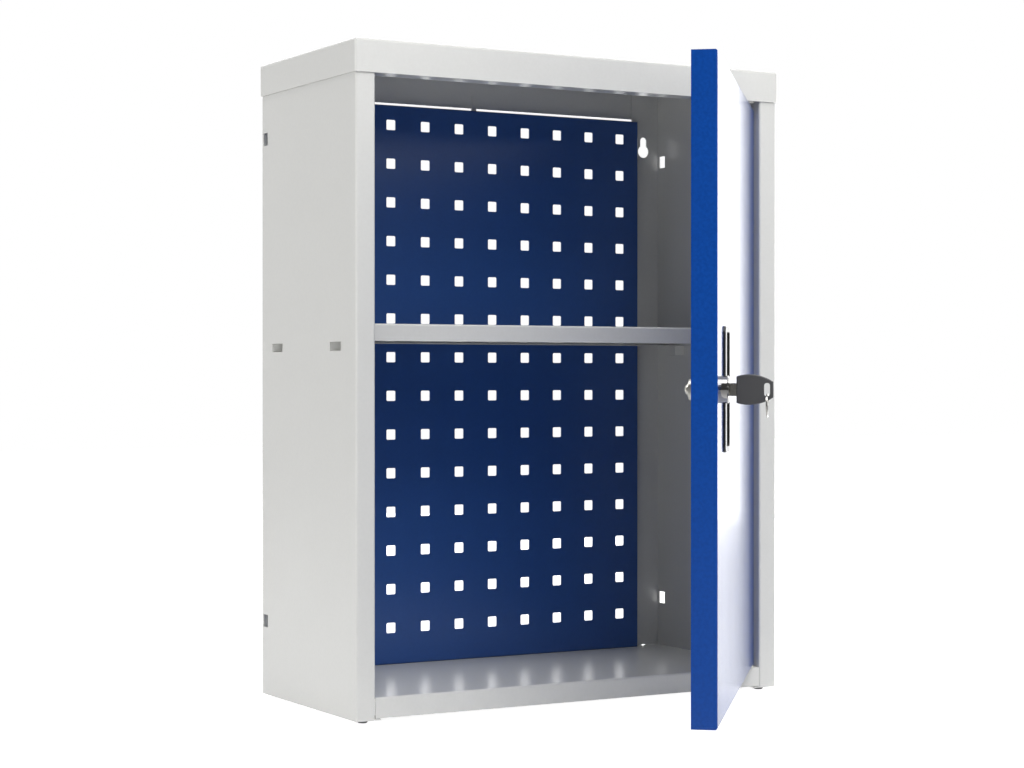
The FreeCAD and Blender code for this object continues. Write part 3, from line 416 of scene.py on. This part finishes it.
# %% Rivets
RIVET_KINDS = {
    "Spread": "NodeSocketFloat", "Drop": "NodeSocketFloat", "Head Radius": "NodeSocketFloat",
    "Head Height": "NodeSocketFloat", "Shank Radius": "NodeSocketFloat", "Grip": "NodeSocketFloat",
}
RIVET_HEAD_MM = 0.9
RIVET_SHANK_MM = 1.6
RIVET_GRIP_MM = 2.0
RIVET_SIDES = 20
RIVET_RINGS = 10


def rivet_group():
    """A rivet with two domed heads along local X, at the corners of a rectangle in local X and Y."""
    group, given = new_group("panel_rivet_domes", RIVET_KINDS)
    corners = put(group, "GeometryNodeMeshGrid", {
        "Size X": given["Spread"], "Size Y": given["Drop"], "Vertices X": 2, "Vertices Y": 2})
    turned = (0, math.radians(90), 0)
    shank = put(group, "GeometryNodeMeshCylinder", {
        "Vertices": RIVET_SIDES, "Radius": given["Shank Radius"], "Depth": given["Grip"]})
    laid = put(group, "GeometryNodeTransform", {"Geometry": shank.outputs["Mesh"], "Rotation": turned})
    dome = put(group, "GeometryNodeMeshUVSphere", {
        "Segments": RIVET_SIDES, "Rings": RIVET_RINGS, "Radius": 1.0})
    flat = put(group, "ShaderNodeCombineXYZ", {
        "X": given["Head Height"], "Y": given["Head Radius"], "Z": given["Head Radius"]})
    rivet = put(group, "GeometryNodeJoinGeometry", {"Geometry": laid.outputs["Geometry"]})
    for end_share in (0.5, -0.5):
        along = put(group, "ShaderNodeMath", {0: given["Grip"], 1: end_share}, operation="MULTIPLY")
        end = put(group, "ShaderNodeCombineXYZ", {"X": along.outputs[0]})
        head = put(group, "GeometryNodeTransform", {
            "Geometry": dome.outputs["Mesh"], "Translation": end.outputs["Vector"],
            "Scale": flat.outputs["Vector"]})
        group.links.new(head.outputs["Geometry"], rivet.inputs["Geometry"])
    placed = put(group, "GeometryNodeInstanceOnPoints", {
        "Points": corners.outputs["Mesh"], "Instance": rivet.outputs["Geometry"]})
    close_group(group, given, placed.outputs["Instances"])
    return group


rivet_low, rivet_high = (Vector(corner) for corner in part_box("panel_rivets"))
rivet_radius = (rivet_high.y - rivet_low.y) / 2
rivet_length = (RIVET_GRIP_MM + 2 * RIVET_HEAD_MM) * MM
rivet_mesh = grow(rivet_group(), {
    "Spread": rivet_high.x - rivet_low.x - rivet_length,
    "Drop": rivet_high.z - rivet_low.z - 2 * rivet_radius,
    "Head Radius": rivet_radius, "Head Height": RIVET_HEAD_MM * MM, "Shank Radius": RIVET_SHANK_MM * MM,
    "Grip": RIVET_GRIP_MM * MM, "Material": zinc_plate},
    Matrix.Translation((rivet_low + rivet_high) / 2) @ Matrix.Rotation(math.radians(90), 4, "X"))
stand_in("panel_rivet_domes", rivet_mesh, "cabinet", slots["panel_rivets"], "panel_rivets")
print("grown", ring_mesh.name, thread_mesh.name, rivet_mesh.name)

# %% [markdown]
# ## Studio
# The cabinet was photographed against white, with soft light from above the camera, from both
# sides and from a bright wall behind. A studio is dim behind the camera, so the surround is dim on
# that side and white on the other. It is white wherever the camera sees it, and dimmer where it only
# fills the shadows. The floor is a pale sheet that keeps the cabinet's soft shadow.

# %% Surround and floor
FLOOR_SIDE = 14.0
# Brightness towards the camera's side of the studio and towards the white backdrop. A span says over
# which part of the way from front to back the first turns into the second.
FILL_LEVELS = (0.05, 0.25)
FILL_SPAN = (-0.75, -0.1)
MIRRORED_LEVELS = (0.08, 1.0)
MIRRORED_SPAN = (-0.5, 0.05)
FLOOR_LIFTS = (0.1, 0.85)
FLOOR_SPAN = (-0.9, 0.1)
FLOOR_FILL = 0.22
FLOOR_SHADES = (0.35, 0.79)


def between(tree, value, levels, span):
    """A soft step from the first level to the second, as a value crosses a span."""
    return put(tree, "ShaderNodeMapRange", {
        "Value": value, "From Min": span[0], "From Max": span[1],
        "To Min": levels[0], "To Max": levels[1]},
        interpolation_type="SMOOTHSTEP").outputs["Result"]


def by_ray(tree, plain, mirrored, direct):
    """One of three strengths: for light that fills shadows, for reflections and for direct sight."""
    path = put(tree, "ShaderNodeLightPath").outputs
    sight = put(tree, "ShaderNodeMath", {0: path["Is Camera Ray"], 1: path["Is Transmission Ray"]},
                operation="MAXIMUM").outputs[0]
    strength = plain
    for chosen, value in ((path["Is Glossy Ray"], mirrored), (sight, direct)):
        strength = put(tree, "ShaderNodeMix", {0: chosen, 2: strength, 3: value}).outputs[0]
    return strength


scene = bpy.context.scene
scene.view_settings.view_transform = "Standard"
surround = bpy.data.worlds.new("white_surround")
scene.world = surround
surround.use_nodes = True
sky = surround.node_tree
sky.nodes.clear()
way = put(sky, "ShaderNodeSeparateXYZ", {"Vector": put(sky, "ShaderNodeTexCoord").outputs["Generated"]})
depth = way.outputs["Y"]
level = by_ray(sky, between(sky, depth, FILL_LEVELS, FILL_SPAN),
               between(sky, depth, MIRRORED_LEVELS, MIRRORED_SPAN), 1.0)
glow = put(sky, "ShaderNodeBackground", {"Color": linear("#FFFFFF"), "Strength": level})
put(sky, "ShaderNodeOutputWorld", {"Surface": glow.outputs["Background"]})

floor_paint = bpy.data.materials.new("pale_studio_floor")
floor_paint.use_nodes = True
tree = floor_paint.node_tree
tree.nodes.clear()
spot = put(tree, "ShaderNodeSeparateXYZ", {"Vector": put(tree, "ShaderNodeTexCoord").outputs["Object"]})
depth = spot.outputs["Y"]
lift_level = by_ray(tree, FLOOR_FILL, between(tree, depth, FLOOR_LIFTS, FLOOR_SPAN), FLOOR_LIFTS[1])
shade = by_ray(tree, FLOOR_SHADES[1], between(tree, depth, FLOOR_SHADES, FLOOR_SPAN), FLOOR_SHADES[1])
matt = put(tree, "ShaderNodeBsdfDiffuse", {"Color": shade})
lift = put(tree, "ShaderNodeEmission", {"Color": linear("#FFFFFF"), "Strength": lift_level})
lifted = put(tree, "ShaderNodeAddShader", {0: matt.outputs["BSDF"], 1: lift.outputs["Emission"]})
put(tree, "ShaderNodeOutputMaterial", {"Surface": lifted.outputs["Shader"]})
bpy.ops.mesh.primitive_plane_add(size=FLOOR_SIDE, location=(0, 0, 0))
floor = bpy.context.active_object
floor.name = "studio_floor"
floor.data.materials.append(floor_paint)

# %% Lamps
LAMPS = {
    # name: place, aim, side, watts
    "front_softbox": ((-0.6, -3.0, 2.2), (0, 0, 0.3), 2.0, 22),
    "left_softbox": ((-3.2, 0.3, 1.6), (-0.2, 0, 0.3), 1.8, 26),
    "right_softbox": ((1.4, -2.6, 1.6), (0, 0, 0.2), 1.5, 17),
    "high_softbox": ((-0.4, -2.1, 3.0), (0, 0, 0.2), 2.0, 51),
    "steep_softbox": ((-0.3, -0.9, 2.4), (0, 0, 0.1), 1.2, 19),
    "rear_softbox": ((1.75, 1.95, 0.6), (0, 0, 0.3), 3.0, 85),
}
for name, (place, aim, side, watts) in LAMPS.items():
    lamp = bpy.data.lights.new(name, "AREA")
    lamp.size = side
    lamp.energy = watts
    holder = bpy.data.objects.new(name, lamp)
    holder.location = place
    holder.rotation_euler = (Vector(aim) - Vector(place)).to_track_quat("-Z", "Y").to_euler()
    scene.collection.objects.link(holder)
print("lamps", ", ".join(LAMPS))

# %% [markdown]
# ## Camera
# The camera stands at half the cabinet's height, about two metres away and thirty degrees round to
# the left, and looks level. Its place was worked out from the grid of holes, whose pitch is known.

# %% Camera
SENSOR_MM = 36.0
LENS_MM = 77.664
CAMERA_PLACE = (-1.06831, -1.8513, 0.30593)
# Degrees below the level, and degrees round to the right of straight ahead
CAMERA_DIP = 0.1923
CAMERA_TURN = 29.7437
camera_data = bpy.data.cameras.new("photo_camera")
camera_data.sensor_width = SENSOR_MM
camera_data.lens = LENS_MM
camera = bpy.data.objects.new("photo_camera", camera_data)
camera.location = CAMERA_PLACE
camera.rotation_euler = (math.radians(90 - CAMERA_DIP), 0, math.radians(-CAMERA_TURN))
scene.collection.objects.link(camera)
scene.camera = camera
